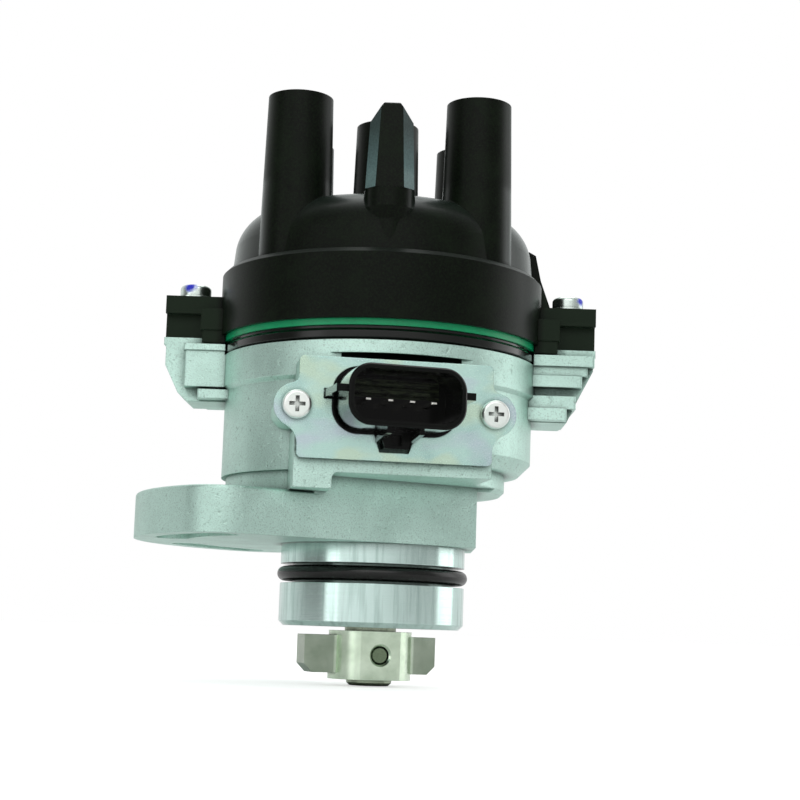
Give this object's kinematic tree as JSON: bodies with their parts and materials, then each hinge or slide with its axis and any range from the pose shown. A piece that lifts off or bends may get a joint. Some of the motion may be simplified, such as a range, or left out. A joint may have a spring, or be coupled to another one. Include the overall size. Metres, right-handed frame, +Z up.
{
  "type": "ignition distributor",
  "caption": "Camshaft-driven ignition distributor with a flanged cast housing, moulded cap with lead towers, rotor, optical pickup and sensor connector.",
  "frame": {"origin": "on the shaft axis, in the plane of the flange's mounting face", "axes": "+Z up the shaft axis towards the cap, +X through the cap ears, the sensor connector faces -Y"},
  "size_m": [0.1211, 0.1116, 0.1521],
  "materials": {
    "cast_aluminium": "as-cast, fine shot-blasted grain, machined spigot",
    "cap_plastic": "moulded thermoset, satin",
    "green_gasket": "moulded rubber",
    "black_rubber": "smooth rubber",
    "zinc_screws": "bright zinc plate",
    "zinc_plate": "bright zinc plate on pressed steel",
    "connector_plastic": "glass-filled moulding",
    "tinned_pins": "tinned",
    "electrode_alloy": "turned",
    "spring_steel": "bright",
    "bearing_steel": "ground",
    "cage_steel": "pressed",
    "bronze": "sintered bronze",
    "shaft_steel": "ground steel",
    "sintered_steel": "sintered steel",
    "disc_steel": "etched sheet",
    "rotor_plastic": "moulded phenolic",
    "brass_blade": "sheet brass",
    "carbon": "pressed carbon"
  },
  "bodies": {
    "distributor_body": {"housing": "cast_aluminium", "cap": "cap_plastic", "vent_hood": "cap_plastic", "cap_gasket": "green_gasket", "dust_cover": "cap_plastic", "cap_screws": "zinc_screws", "plug_electrodes": "electrode_alloy", "coil_terminal": "electrode_alloy", "brush_spring": "spring_steel", "spigot_o_ring": "black_rubber", "oil_seal": "black_rubber", "bearing_outer_race": "bearing_steel", "bearing_snap_ring": "spring_steel", "shaft_bush": "bronze", "connector_shell": "connector_plastic", "connector_pins": "tinned_pins", "connector_seal": "black_rubber", "connector_plate": "zinc_plate", "plate_screws": "zinc_screws", "pickup_body": "connector_plastic", "pickup_screws": "zinc_screws"},
    "rotating_shaft": {"shaft": "shaft_steel", "drive_coupling": "sintered_steel", "coupling_pin": "shaft_steel", "bearing_inner_race": "bearing_steel", "bearing_clip": "spring_steel", "disc_hub": "shaft_steel", "slotted_disc": "disc_steel", "disc_clamp": "shaft_steel", "disc_clip": "spring_steel", "rotor_arm": "rotor_plastic", "rotor_electrode": "brass_blade", "rotor_contact": "spring_steel", "rotor_screw": "zinc_screws"},
    "ball_cage": {"bearing_balls": "bearing_steel", "bearing_cage": "cage_steel"},
    "brush": {"carbon_brush": "carbon"}
  },
  "joints": [
    {"name": "shaft_spin", "type": "hinge", "parent": "distributor_body", "child": "rotating_shaft", "pos_m": [0, 0, 0], "axis": [0, 0, 1], "continuous": true},
    {"name": "cage_spin", "type": "hinge", "parent": "distributor_body", "child": "ball_cage", "pos_m": [0, 0, -0.0083], "axis": [0, 0, 1], "continuous": true},
    {"name": "brush_slide", "type": "slide", "parent": "distributor_body", "child": "brush", "axis": [0, 0, 1], "range_m": [0, 0.0015], "stiffness_N_per_m": 350, "springref_m": -0.001, "deforming": ["brush_spring"]}
  ],
  "couplings": [
    {"joint": "cage_spin", "follows": "shaft_spin", "ratio": 0.3665}
  ]
}
